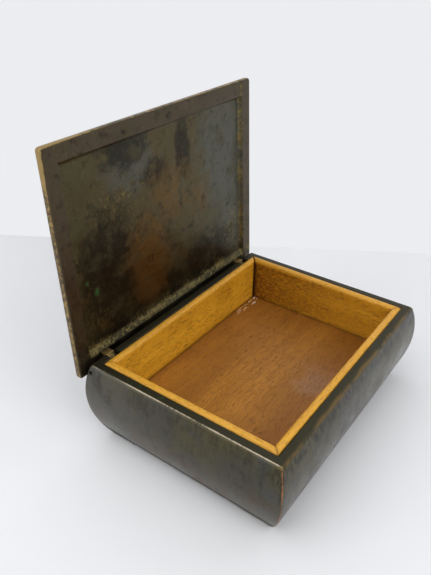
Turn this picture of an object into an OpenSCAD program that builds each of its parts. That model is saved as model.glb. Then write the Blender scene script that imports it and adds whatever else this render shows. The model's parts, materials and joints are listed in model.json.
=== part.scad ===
// Hinged bombe table box: a cast bronze case on four bracket feet, a flat overhanging lid
// on two hidden hinge pins, and a mitred wooden lining.
// Millimetres. +X runs along the hinge, +Y points to the hinge side, +Z is up, z = 0 is the table.
// The lid is drawn standing open.

/* [Case] */
// Length of the rim along the hinge
case_w = 160; // [110:1:240]
// Depth of the rim from front to hinge side
case_d = 121; // [90:1:190]
// Height of the rim above the table
case_h = 52; // [45:1:80]
// How far the widest line of the swelling stands outside the rim
bulge_out = 3.5; // [1.5:0.1:5]
// How far the walls stand inside the rim where they meet the table
foot_in = 5.5; // [3:0.1:8]
// Thickness of the cast walls, which is also the width of the rim
wall = 5; // [4:0.5:8]

/* [Feet] */
// Length of each bracket foot along a wall
foot_len = 17; // [10:1:30]
// Height of the apron between the feet above the table
apron_h = 4; // [2:0.5:7]
// Radius where a foot runs up into the apron
apron_r = 3.5; // [1:0.5:7]

/* [Base] */
// Height of the top of the cast ledge that carries the base plate
ledge_top = 16; // [12:1:20]
// Thickness of the cast ledge
ledge_t = 3; // [2:0.5:5]
// Thickness of the cast walls below the ledge
skirt_t = 4; // [3:0.5:6]
// Width of the cast ledge inside the lining
ledge_w = 8; // [6:0.5:14]
// Thickness of the base plate
base_t = 2; // [1:0.5:4]
// Radius of the shank of each base screw
screw_r = 1.2; // [0.8:0.1:1.5]
// Radius of the countersunk head of each base screw
screw_head_r = 2.4; // [1.8:0.1:3]
// Length of each base screw over its head
screw_len = 8; // [7:0.5:9]
// Clearance of the base screws in the ledge and the base plate
screw_gap = 0.1; // [0.05:0.05:0.3]

/* [Wooden lining] */
// Thickness of the lining slats
slat_t = 4.5; // [3:0.5:7]
// Height of the slats above the rim
slat_proud = 0.5; // [0.2:0.1:0.6]
// Extra height of the lining at the corner where its mitre has opened
slat_lift = 0.8; // [0:0.1:0.8]
// Radius of the rounded top edges of the slats
slat_round = 1.9; // [0.5:0.1:2]
// Gap at the mitre that has opened
mitre_gap = 0.6; // [0.2:0.1:1.5]
// Thickness of the wooden floor board
floor_t = 5; // [3:0.5:8]
// Clearance between the wooden pieces and what they fit into
wood_gap = 0.15; // [0.05:0.05:0.3]

/* [Lid] */
// Overhang of the lid past the rim at the two ends
lid_over_end = 4.8; // [4:0.2:8]
// Overhang of the lid past the rim at the front
lid_over_front = 5.3; // [4:0.1:9]
// Overhang of the lid past the rim on the hinge side
lid_over_back = 4; // [2:0.1:5]
// Thickness of the lid at its border
lid_t = 4; // [3.6:0.1:6]
// Depth of the sunk panel inside the lid
panel_drop = 2.5; // [2.3:0.1:2.7]
// Width of the border round the sunk panel past the lining, at the ends and the front
panel_margin = 1.2; // [0.5:0.1:4]
// Depth of the bevel that runs along the hinge side of the sunk panel
bevel_d = 3.6; // [2:0.2:3.8]
// Slope of the front side of the sunk panel
panel_draft = 0.6; // [0:0.1:2]
// Radius of the worn outer edges of the lid
lid_edge_r = 1.2; // [0.4:0.1:1.7]
// Radius of the corners of the lid seen from above
lid_corner_r = 2; // [1.8:0.1:8]
// Gap between the closed lid and the rim
lid_gap = 0.4; // [0.3:0.05:0.6]
// Angle to which the lid opens
open_angle = 92.5; // [60:0.5:93]

/* [Hinge] */
// Distance of the hinge pins inside the back edge of the rim
pin_inset = 0.9; // [0.8:0.1:1.4]
// Distance of the hinge pins below the rim
pin_drop = 4.4; // [4.2:0.1:5]
// Radius of the hinge pins
pin_r = 1; // [0.6:0.1:1.1]
// Depth to which each pin is sunk in its hole in the end wall
pin_sunk = 0.8; // [0.2:0.1:3]
// Running clearance between a pin and its lug
pin_gap = 0.05; // [0.02:0.01:0.1]
// Width of each hinge lug along the hinge
lug_w = 5.5; // [4:0.5:9]
// Distance of the outer side of each lug inside the end of the rim
lug_inset = 12; // [9:0.5:30]
// Radius of the lug round its pin
lug_r = 2.4; // [2:0.1:2.6]
// Clearance of each lug in its notch
notch_gap = 0.8; // [0.3:0.1:2]
// Length of each pin past the inner side of its lug
pin_past = 3; // [1:0.5:8]
// Length of each lug behind its pin
lug_back = 1.8; // [1.6:0.1:2]

/* [Hidden] */
$fn = 96;

half_w = case_w / 2;
half_d = case_d / 2;
// each wall is one arc through the rim, the widest line and the table; this is its radius and the
// height of its widest line
fall = bulge_out + foot_in;
bulge_z = (case_h * fall - sqrt(bulge_out * fall * (case_h * case_h + foot_in * foot_in))) / foot_in;
bulge_r = (bulge_z * bulge_z + fall * fall) / (2 * fall);
far = 2 * (case_w + case_d);

// mouth of the case, which the lining fits
mouth_w = half_w - wall;
mouth_d = half_d - wall;
lining_w = mouth_w - wood_gap;
lining_d = mouth_d - wood_gap;
base_top = ledge_top + base_t;
floor_top = base_top + floor_t;
slat_top = case_h + slat_proud;

// hinge axis
pin_y = half_d - pin_inset;
pin_z = case_h - pin_drop;
lid_face = case_h + lid_gap;
// the lugs swing past the back slat with this clearance
lug_wood_gap = 0.3;
lug_front = pin_y - mouth_d - lug_wood_gap;
lug_x = half_w - lug_inset - lug_w / 2;
end_wall_out = half_w + wall_out(pin_z);
pin_outer = end_wall_out - pin_sunk;
pin_inner = lug_x - lug_w / 2 - pin_past;
// extra depth of the pin holes past the pin ends
pin_end_gap = 0.5;
// how far a cut runs past the face that it opens
past = 1;

lid_x = half_w + lid_over_end;
lid_front = -half_d - lid_over_front;
lid_back = half_d + lid_over_back;
panel_x = mouth_w + panel_margin;
panel_front = -mouth_d - panel_margin;
panel_back = mouth_d + lug_wood_gap;
panel_z = lid_face + panel_drop;

// outset of the wall at height z against the rim
function wall_out(z) = bulge_out - bulge_r + sqrt(bulge_r * bulge_r - (z - bulge_z) * (z - bulge_z));

// upright cross-section between two swelling walls, moved in by inset and cut off at heights z1 and z2
module swelling_section(half, inset, z1, z2) {
    centre = half + bulge_out - bulge_r - inset;
    intersection() {
        if (centre > 0) {
            union() {
                translate([centre, bulge_z]) circle(r = bulge_r);
                translate([-centre, bulge_z]) circle(r = bulge_r);
                translate([-centre, z1]) square([2 * centre, z2 - z1]);
            }
        } else {
            intersection() {
                translate([centre, bulge_z]) circle(r = bulge_r);
                translate([-centre, bulge_z]) circle(r = bulge_r);
            }
        }
        translate([-far, z1]) square([2 * far, z2 - z1]);
    }
}

// swelling block with mitred corner ridges
module swelling_block(inset, z1, z2) {
    intersection() {
        rotate([90, 0, 0])
            linear_extrude(height = far, center = true) swelling_section(half_w, inset, z1, z2);
        rotate([90, 0, 90])
            linear_extrude(height = far, center = true) swelling_section(half_d, inset, z1, z2);
    }
}

// opening under the apron of one pair of walls, drawn upright with its foot on the table
module apron_section(half) {
    reach = half - foot_in - foot_len;
    translate([-reach, -past]) square([2 * reach, apron_h + past - apron_r]);
    translate([-reach + apron_r, -past]) square([2 * (reach - apron_r), apron_h + past]);
    for (side = [-1, 1])
        translate([side * (reach - apron_r), apron_h - apron_r]) circle(r = apron_r);
}

// plain block given by its half sizes and its lower and upper height
module block(half_x, half_y, z1, z2) {
    translate([-half_x, -half_y, z1]) cube([2 * half_x, 2 * half_y, z2 - z1]);
}

// bar along X given by its end and radius, on the hinge axis
module hinge_bar(x1, x2, r) {
    translate([x1, pin_y, pin_z]) rotate([0, 90, 0]) cylinder(r = r, h = x2 - x1);
}

module screw_places() {
    inset = ledge_w / 2;
    for (sx = [-1, 1], sy = [-1, 1])
        translate([sx * (lining_w - slat_t - inset), sy * (lining_d - slat_t - inset), ledge_top - ledge_t])
            children();
}

module case_body() {
    ring_w = mouth_w - ledge_w - slat_t;
    ring_d = mouth_d - ledge_w - slat_t;
    color([0.27, 0.25, 0.21])
    difference() {
        swelling_block(0, 0, case_h);
        // room for the lining, which is straight where the walls of a high case draw in
        swelling_block(wall, ledge_top, case_h + past);
        block(mouth_w, mouth_d, ledge_top, case_h + past);
        // room under the ledge
        swelling_block(skirt_t, -past, ledge_top - ledge_t);
        block(ring_w, ring_d, 0, case_h);
        // aprons between the feet
        rotate([90, 0, 0]) linear_extrude(height = far, center = true) apron_section(half_w);
        rotate([90, 0, 90]) linear_extrude(height = far, center = true) apron_section(half_d);
        // notches for the lugs
        for (side = [-1, 1])
            translate([side * lug_x, 0, 0]) notch();
        // holes for the pins
        for (side = [-1, 1])
            mirror([side > 0 ? 0 : 1, 0, 0]) hinge_bar(pin_inner - pin_end_gap, half_w + 2 * bulge_out, pin_r);
        screw_places() cylinder(r = screw_r + screw_gap, h = ledge_t);
        screw_places() cylinder(r1 = screw_head_r + screw_gap, r2 = screw_r + screw_gap, h = screw_head_r - screw_r);
    }
}

// notch through the back wall that a lug swings in
module notch() {
    half = lug_w / 2 + notch_gap;
    depth = lug_r + notch_gap;
    translate([-half, mouth_d - past, pin_z - depth])
        cube([2 * half, wall + bulge_out + 2 * past, far]);
}

module base_plate() {
    color([0.45, 0.35, 0.2])
    difference() {
        block(lining_w, lining_d, ledge_top, base_top);
        screw_places() cylinder(r = screw_r + screw_gap, h = screw_len);
    }
}

module base_screws() {
    color([0.6, 0.5, 0.28])
    screw_places() {
        cylinder(r = screw_r, h = screw_len);
        cylinder(r1 = screw_head_r, r2 = screw_r, h = screw_head_r - screw_r);
    }
}

module floor_board() {
    gap = slat_t + wood_gap;
    color([0.52, 0.3, 0.14])
    difference() {
        block(lining_w - gap, lining_d - gap, base_top, floor_top);
        screw_places() cylinder(r = screw_r, h = screw_len);
    }
}

// upright section of a slat with its outer face at 0 and its inner face at slat_t
module slat_section(height) {
    square([slat_t, height - slat_round]);
    translate([slat_round, 0]) square([slat_t - 2 * slat_round, height]);
    for (x = [slat_round, slat_t - slat_round])
        translate([x, height - slat_round]) circle(r = slat_round);
}

// slat that stands on the base plate, along X, with mitred ends and its outer face at y = out
module slat(half_len, out, lift) {
    height = slat_top - base_top;
    tilt = atan(lift / (2 * half_len));
    intersection() {
        translate([-half_len, out, base_top]) rotate([0, -tilt, 0])
            rotate([90, 0, 90]) translate([0, 0, -past])
                linear_extrude(height = 2 * (half_len + past)) mirror([1, 0]) slat_section(height);
        linear_extrude(height = far)
            polygon([[-half_len, out], [half_len, out], [half_len - out, 0], [out - half_len, 0]]);
    }
}

module slat_back() {
    color([0.78, 0.55, 0.22])
    intersection() {
        slat(lining_w, lining_d, slat_lift);
        translate([-far, 0, 0]) cube([far + lining_w - mitre_gap, far, far]);
    }
}

module slat_front() {
    color([0.8, 0.56, 0.22])
    mirror([0, 1, 0]) slat(lining_w, lining_d, 0);
}

module slat_left() {
    color([0.8, 0.56, 0.22])
    rotate([0, 0, 90]) slat(lining_d, lining_w, 0);
}

module slat_right() {
    color([0.66, 0.4, 0.16])
    mirror([1, 0, 0]) rotate([0, 0, 90]) slat(lining_d, lining_w, slat_lift);
}

// turns what is drawn with the lid closed to where it stands open
module opened() {
    translate([0, pin_y, pin_z]) rotate([-open_angle, 0, 0]) translate([0, -pin_y, -pin_z]) children();
}

// rectangle with rounded corners from point a to point b
module rounded_rect(a, b, r) {
    translate([a[0] + r, a[1]]) square([b[0] - a[0] - 2 * r, b[1] - a[1]]);
    translate([a[0], a[1] + r]) square([b[0] - a[0], b[1] - a[1] - 2 * r]);
    for (x = [a[0] + r, b[0] - r], y = [a[1] + r, b[1] - r])
        translate([x, y]) circle(r = r);
}

module lid_plate() {
    color([0.3, 0.26, 0.19])
    opened()
    difference() {
        intersection() {
            linear_extrude(height = far)
                rounded_rect([-lid_x, lid_front], [lid_x, lid_back], lid_corner_r);
            rotate([90, 0, 0]) linear_extrude(height = far, center = true)
                rounded_rect([-lid_x, lid_face], [lid_x, lid_face + lid_t], lid_edge_r);
            rotate([90, 0, 90]) linear_extrude(height = far, center = true)
                rounded_rect([lid_front, lid_face], [lid_back, lid_face + lid_t], lid_edge_r);
        }
        translate([-panel_x, 0, 0]) rotate([90, 0, 90]) linear_extrude(height = 2 * panel_x)
            polygon([
                [panel_front, lid_face - past], [panel_front, lid_face],
                [panel_front + panel_draft, panel_z], [panel_back - bevel_d, panel_z],
                [panel_back, lid_face], [panel_back, lid_face - past]
            ]);
    }
}

// lug under the lid, centred on x = 0, drawn with the lid closed
module lug() {
    difference() {
        union() {
            translate([-lug_w / 2, pin_y - lug_front, pin_z])
                cube([lug_w, lug_front + lug_back, lid_face - pin_z]);
            translate([-lug_w / 2, pin_y, pin_z]) rotate([0, 90, 0]) cylinder(r = lug_r, h = lug_w);
        }
        hinge_bar(-lug_w, lug_w, pin_r + pin_gap);
    }
}

module lug_left() {
    color([0.5, 0.43, 0.26])
    opened() translate([-lug_x, 0, 0]) lug();
}

module lug_right() {
    color([0.5, 0.43, 0.26])
    opened() translate([lug_x, 0, 0]) lug();
}

module pin_left() {
    color([0.35, 0.32, 0.28])
    mirror([1, 0, 0]) hinge_bar(pin_inner, pin_outer, pin_r);
}

module pin_right() {
    color([0.35, 0.32, 0.28])
    hinge_bar(pin_inner, pin_outer, pin_r);
}

case_body();
base_plate();
base_screws();
floor_board();
slat_left();
slat_right();
slat_front();
slat_back();
lid_plate();
lug_left();
lug_right();
pin_left();
pin_right();
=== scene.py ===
"""Looks of a hinged bombe table box: a patinated bronze case and lid round a mitred wooden lining.

Everything is in metres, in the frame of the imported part: +X along the hinge, +Y to the hinge side, +Z up.
"""
import json
import math
import random

import bmesh
import bpy
from bpy.props import FloatProperty, FloatVectorProperty, PointerProperty
from mathutils import Matrix, Vector, noise


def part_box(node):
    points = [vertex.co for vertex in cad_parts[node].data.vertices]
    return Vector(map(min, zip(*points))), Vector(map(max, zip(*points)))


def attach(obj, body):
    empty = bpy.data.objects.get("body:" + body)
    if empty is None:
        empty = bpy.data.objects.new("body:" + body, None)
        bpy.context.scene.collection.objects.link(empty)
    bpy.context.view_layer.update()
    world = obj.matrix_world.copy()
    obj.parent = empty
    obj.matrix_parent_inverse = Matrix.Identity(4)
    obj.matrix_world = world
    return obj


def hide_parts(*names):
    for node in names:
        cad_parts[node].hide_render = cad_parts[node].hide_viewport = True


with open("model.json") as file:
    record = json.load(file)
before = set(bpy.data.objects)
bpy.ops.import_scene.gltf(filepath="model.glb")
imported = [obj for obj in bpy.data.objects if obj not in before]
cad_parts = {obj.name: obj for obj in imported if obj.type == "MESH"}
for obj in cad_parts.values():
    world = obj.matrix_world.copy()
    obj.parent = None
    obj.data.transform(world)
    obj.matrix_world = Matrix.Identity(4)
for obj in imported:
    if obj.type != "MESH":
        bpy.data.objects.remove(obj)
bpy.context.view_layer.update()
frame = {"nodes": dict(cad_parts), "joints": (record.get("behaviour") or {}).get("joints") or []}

bl_info = {
    "name": "Bombe table box",
    "version": (1, 0, 0),
    "blender": (4, 5, 0),
    "location": "View3D > Sidebar > Table box",
    "description": "Builds the finished surfaces of a hinged bronze table box round its packed frame",
    "category": "Add Mesh",
}

MM = 0.001
HINGE = frame["joints"][0]
PIN = Vector(HINGE["pos_m"])
OPEN_ANGLE = math.radians(HINGE["range_deg"][1])
TURN_OPEN = Matrix.Translation(PIN) @ Matrix.Rotation(-OPEN_ANGLE, 4, "X") @ Matrix.Translation(-PIN)


def closed_box(node):
    """Lowest and highest corner of a lid node with the lid turned shut."""
    shut = TURN_OPEN.inverted()
    corners = [shut @ v.co for v in frame["nodes"][node].data.vertices]
    low = Vector(min(c[k] for c in corners) for k in range(3))
    high = Vector(max(c[k] for c in corners) for k in range(3))
    return low, high


def length(name, description, default):
    return FloatProperty(name=name, description=description, default=default, unit="LENGTH", precision=5)


def colour(name, description, default):
    return FloatVectorProperty(name=name, description=description, default=default, subtype="COLOR", min=0, max=1)


def share(name, description, default):
    return FloatProperty(name=name, description=description, default=default, subtype="FACTOR", min=0, max=1)


class CaseSizes(bpy.types.PropertyGroup):
    """Sizes of the cast case that its box does not give."""
    bulge_out: length("Bulge", "How far the walls swell past the rim", 3.5 * MM)
    foot_in: length("Foot inset", "How far the walls stand inside the rim at the table", 5.5 * MM)
    wall: length("Rim width", "Width of the rim round the lining", 5 * MM)
    skirt: length("Skirt", "Thickness of the walls below the ledge", 4 * MM)
    ledge_top: length("Ledge height", "Top of the ledge that carries the base plate", 16 * MM)
    ledge_t: length("Ledge thickness", "Thickness of the ledge", 3 * MM)
    ledge_reach: length("Ledge reach", "How far the ledge comes in from the rim", 17.5 * MM)
    foot_len: length("Foot length", "Length of a bracket foot along a wall", 17 * MM)
    apron_h: length("Apron height", "Height of the apron above the table", 4 * MM)
    apron_r: length("Apron radius", "Radius where a foot runs into the apron", 3.5 * MM)
    ridge_r: length("Ridge radius", "Wear radius of the upright corner ridges", 0.9 * MM)
    arris_r: length("Arris radius", "Wear radius of the outer edge of the rim", 1.1 * MM)
    wobble: length("Wobble", "Depth of the hand finished waves in the walls", 0.14 * MM)
    notch_gap: length("Notch gap", "Clearance of a hinge lug in its notch", 0.8 * MM)
    pin_hole_r: length("Pin hole radius", "Radius of the hinge pin holes at the end walls", 1.12 * MM)


class LidSizes(bpy.types.PropertyGroup):
    """Sizes of the cast lid that its box does not give."""
    panel_drop: length("Panel depth", "Depth of the sunk panel", 2.5 * MM)
    panel_margin: length("Panel margin", "How far the panel runs past the mouth of the case", 1.2 * MM)
    panel_soft: length("Panel edge", "Width over which the panel falls away from its border", 2.0 * MM)
    bevel_d: length("Hinge bevel", "Depth of the rough bevel along the hinge", 3.6 * MM)
    lug_wood_gap: length("Hinge margin", "Distance of the bevel from the mouth of the case", 0.3 * MM)
    edge_r: length("Edge radius", "Wear radius of the outer edges", 1.1 * MM)
    corner_r: length("Corner radius", "Radius of the corners", 2 * MM)
    grain: length("Casting grain", "Depth of the rough casting skin in the panel", 0.16 * MM)
    step: length("Mesh step", "Distance between the mesh lines over the lid", 0.95 * MM)


class LiningSizes(bpy.types.PropertyGroup):
    """Sizes of the wooden lining that its boxes do not give."""
    slat_t: length("Slat thickness", "Thickness of the slats", 4.5 * MM)
    slat_proud: length("Slat rise", "Height of the slats above the rim", 0.5 * MM)
    slat_lift: length("Opened mitre rise", "Rise of the lining at the mitre that has opened", 0.8 * MM)
    slat_round: length("Slat rounding", "Radius of the rounded top edges", 1.9 * MM)
    mitre_gap: length("Mitre gap", "Gap at the mitre that has opened", 1.3 * MM)
    wood_gap: length("Wood gap", "Clearance round the wooden pieces", 0.15 * MM)


class BronzeColours(bpy.types.PropertyGroup):
    """Colours of the patinated bronze."""
    patina: colour("Patina", "Dark brown grey skin of the case", (0.068, 0.060, 0.045))
    olive: colour("Olive", "Olive cast in the patina", (0.080, 0.070, 0.034))
    russet: colour("Russet", "Reddish brown mottling", (0.130, 0.062, 0.034))
    rim_green: colour("Rim green", "Matte green black of the rim", (0.050, 0.044, 0.024))
    tawny: colour("Tawny", "Brown skin inside the lid", (0.086, 0.066, 0.030))
    slate: colour("Slate", "Blue grey clouds inside the lid", (0.100, 0.105, 0.094))
    rust: colour("Rust", "Rusty brown inside the lid", (0.165, 0.083, 0.016))
    border: colour("Border", "Purple brown of the lid border", (0.082, 0.060, 0.040))
    steel: colour("Steel", "Blue grey clouds in the patina", (0.062, 0.066, 0.070))
    ash: colour("Ash", "Paler skin of the end wall near the hinge", (0.108, 0.101, 0.082))
    soot: colour("Soot", "Nearly black patches", (0.013, 0.012, 0.009))
    verdigris: colour("Verdigris", "Bright green spots", (0.06, 0.22, 0.07))
    deposit: colour("Deposit", "Yellow grey crust along the hinge", (0.240, 0.185, 0.066))
    worn: colour("Worn metal", "Metal where the patina has rubbed off", (0.42, 0.29, 0.11))
    # Pale metal along the rim: rubbed metal, and also a painted highlight along the top of its arris.
    pale_metal_and_highlight: colour("Pale worn metal", "Metal along the rubbed rim", (0.48, 0.40, 0.29))
    copper: colour("Copper", "Coppery metal along the rubbed corner ridges", (0.34, 0.15, 0.06))
    straw: colour("Straw", "Brown gold streaks along the front of the rim", (0.185, 0.120, 0.040))


class WoodColours(bpy.types.PropertyGroup):
    """Colours of the lining and the floor board."""
    honey: colour("Honey", "Main colour of the slats", (0.86, 0.460, 0.034))
    honey_dark: colour("Dark honey", "Darker bands of the slats", (0.66, 0.310, 0.015))
    rubbed: colour("Rubbed edge", "Light wood along the rounded top edges", (0.72, 0.36, 0.050))
    # Dark red brown: a random red tone in all the wood, and on the right slat mostly painted shade, darkest by the
    # lid.
    red: colour("Red slat", "Colour of the slat that has gone redder", (0.18, 0.056, 0.004))
    fleck: colour("Fleck", "Short dark flecks in the grain", (0.075, 0.027, 0.005))
    floor: colour("Floor board", "Main colour of the floor board", (0.48, 0.203, 0.023))
    floor_dark: colour("Dark floor board", "Darker bands of the floor board", (0.31, 0.122, 0.014))
    glue: colour("Old glue", "Dried glue at the back of the floor board", (0.60, 0.50, 0.42))


class StageSettings(bpy.types.PropertyGroup):
    """Camera, light and surroundings."""
    camera_at: FloatVectorProperty(
        name="Camera place", description="Where the camera stands", subtype="TRANSLATION",
        unit="LENGTH", default=(-0.24763, -0.14426, 0.26175))
    look_at: FloatVectorProperty(
        name="Look at", description="Point that the camera looks at", subtype="TRANSLATION",
        unit="LENGTH", default=(0.05871, 0.07684, 0.026))
    roll: FloatProperty(name="Roll", description="Turn of the camera about its own axis", subtype="ANGLE",
                        default=math.radians(0.395))
    lens: FloatProperty(name="Lens", description="Focal length in millimetres", default=37.68, min=10)
    table: colour("Table", "Colour of the pale table", (0.83, 0.835, 0.85))
    wall: colour("Wall", "Colour of the pale wall behind", (0.84, 0.85, 0.875))
    wall_behind: length("Wall distance", "Distance of the wall behind the box", 0.1174)
    wall_turn: FloatProperty(name="Wall turn", description="Turn of the wall against the camera", subtype="ANGLE",
                             default=math.radians(-4.5))
    world: share("World light", "Strength of the even light all round", 0.51)
    key: FloatProperty(name="Key lamp", description="Power of the large lamp on the left", default=5.4, min=0)
    side: FloatProperty(name="Side lamp", description="Power of the low lamp at the side", default=3.6, min=0)
    fill: FloatProperty(name="Fill lamp", description="Power of the lamp in front", default=8.0, min=0)


SETTINGS = {
    "box_case": CaseSizes,
    "box_lid": LidSizes,
    "box_lining": LiningSizes,
    "box_bronze": BronzeColours,
    "box_wood": WoodColours,
    "box_stage": StageSettings,
}


# ---------------------------------------------------------------- finishes

class Finish:
    """A node material that is being put together: adds nodes and links them."""

    def __init__(self, name):
        self.material = bpy.data.materials.new(name)
        self.material.use_nodes = True
        self.tree = self.material.node_tree
        self.shader = self.tree.nodes["Principled BSDF"]

    def node(self, kind, inputs=(), **settings):
        made = self.tree.nodes.new(kind)
        for key, value in settings.items():
            setattr(made, key, value)
        for key, value in dict(inputs).items():
            self.feed(made.inputs[key], value)
        return made

    def feed(self, socket, value):
        if isinstance(value, bpy.types.NodeSocket):
            self.tree.links.new(value, socket)
        elif socket.type == "RGBA":
            socket.default_value = (*value[:3], 1)
        else:
            socket.default_value = value

    def place(self):
        return self.node("ShaderNodeTexCoord").outputs["Object"]

    def attribute(self, name, output="Fac"):
        return self.node("ShaderNodeAttribute", attribute_name=name).outputs[output]

    def stretched(self, at, scale):
        made = self.node("ShaderNodeMapping", {"Vector": at, "Scale": scale})
        return made.outputs["Vector"]

    def cloud(self, at, scale, detail=4, roughness=0.55, distortion=0.0):
        values = {"Vector": at, "Scale": scale, "Detail": detail, "Roughness": roughness, "Distortion": distortion}
        return self.node("ShaderNodeTexNoise", values).outputs["Fac"]

    def cells(self, at, scale):
        return self.node("ShaderNodeTexVoronoi", {"Vector": at, "Scale": scale}).outputs["Distance"]

    def band(self, value, low, high, to_low=0.0, to_high=1.0):
        values = {"Value": value, "From Min": low, "From Max": high, "To Min": to_low, "To Max": to_high}
        return self.node("ShaderNodeMapRange", values, interpolation_type="SMOOTHSTEP").outputs["Result"]

    def sum(self, operation, a, b=0.0):
        made = self.node("ShaderNodeMath", operation=operation, use_clamp=False)
        self.feed(made.inputs[0], a)
        self.feed(made.inputs[1], b)
        return made.outputs["Value"]

    def blend(self, factor, a, b):
        made = self.node("ShaderNodeMix", data_type="RGBA", clamp_factor=True)
        self.feed(made.inputs[0], factor)
        self.feed(made.inputs[6], a)
        self.feed(made.inputs[7], b)
        return made.outputs[2]

    def relief(self, height, depth, strength=1.0, under=None):
        values = {"Height": height, "Distance": depth, "Strength": strength}
        if under is not None:
            values["Normal"] = under
        return self.node("ShaderNodeBump", values).outputs["Normal"]

    def finish(self, **sockets):
        for name, value in sockets.items():
            self.feed(self.shader.inputs[name.replace("_", " ")], value)
        return self.material


def rub(make, wear_and_highlight, at, scale=900.0):
    """Breaks an edge mask up, so that the patina goes in spots and not along a clean line; the masks are worn metal,
    and on the case rim also a painted highlight.
    """
    spots = make.cloud(at, scale, 3, 0.6)
    return make.band(make.sum("ADD", wear_and_highlight, make.sum("MULTIPLY", make.sum("SUBTRACT", spots, 0.5), 0.9)), 0.42, 0.78)


def case_bronze(hue):
    make = Finish("case_bronze")
    at = make.place()
    wide = make.cloud(at, 22, 3, 0.5)
    patches = make.cloud(at, 60, 5, 0.62)
    fine = make.cloud(at, 420, 4, 0.65)
    skin = make.blend(make.band(wide, 0.42, 0.62), hue.patina, hue.olive)
    blue = make.cloud(at, 41, 5, 0.6, 0.3)
    skin = make.blend(make.band(blue, 0.50, 0.66, 0, 0.6), skin, hue.steel)
    mottle = make.cloud(at, 150, 4, 0.65)
    skin = make.blend(make.band(mottle, 0.50, 0.72, 0, 0.45), skin, hue.soot)
    russet = make.sum("MULTIPLY", make.band(patches, 0.46, 0.62), make.attribute("low"))
    skin = make.blend(make.sum("MULTIPLY", russet, 0.7), skin, hue.russet)
    streaks = make.cloud(make.stretched(at, (1, 1, 0.22)), 260, 4, 0.6)
    skin = make.blend(make.band(streaks, 0.52, 0.72, 0, 0.55), skin, hue.soot)
    skin = make.blend(make.band(fine, 0.56, 0.80, 0, 0.5), skin, hue.soot)
    drips = make.cloud(make.stretched(at, (1, 1, 0.18)), 560, 4, 0.6)
    smear = make.sum("MULTIPLY", make.attribute("smear"), make.band(drips, 0.40, 0.58))
    skin = make.blend(make.sum("MULTIPLY", smear, 0.85), skin, hue.soot)
    skin = make.blend(make.sum("MULTIPLY", make.attribute("pale"), make.band(patches, 0.3, 0.6)), skin, hue.ash)
    # Painted shade: soot darkens the foot of the front wall, fading out 26 mm up.
    skin = make.blend(make.sum("MULTIPLY", make.attribute("shade"), 0.45), skin, hue.soot)
    skin = make.blend(make.attribute("rim"), skin, hue.rim_green)
    crust = make.sum("MULTIPLY", make.attribute("crust"), make.band(patches, 0.40, 0.56))
    skin = make.blend(make.sum("MULTIPLY", crust, 0.9), skin, hue.straw)
    specks = make.sum("MULTIPLY", make.attribute("green"), make.band(fine, 0.52, 0.64, 0, 0.6))
    skin = make.blend(specks, skin, hue.verdigris)
    # Rubbed rim edges in pale metal, which also paint a highlight along the top of the rim arris.
    worn = rub(make, make.attribute("wear_and_highlight"), at, 700)
    skin = make.blend(make.sum("MULTIPLY", worn, 0.75), skin, hue.pale_metal_and_highlight)
    ridge = rub(make, make.attribute("ridge"), at, 350)
    skin = make.blend(make.sum("MULTIPLY", ridge, 0.8), skin, hue.copper)
    rough = make.band(patches, 0.3, 0.7, 0.25, 0.40)
    rough = make.sum("ADD", rough, make.sum("MULTIPLY", make.attribute("rim"), 0.25))
    height = make.sum("ADD", make.sum("MULTIPLY", fine, 0.5), make.cloud(at, 1600, 2, 0.5))
    return make.finish(
        Base_Color=skin, Metallic=0.9, Roughness=rough, Coat_Weight=0.14, Coat_Roughness=0.24,
        Normal=make.relief(height, 0.00006, 0.55))


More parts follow.
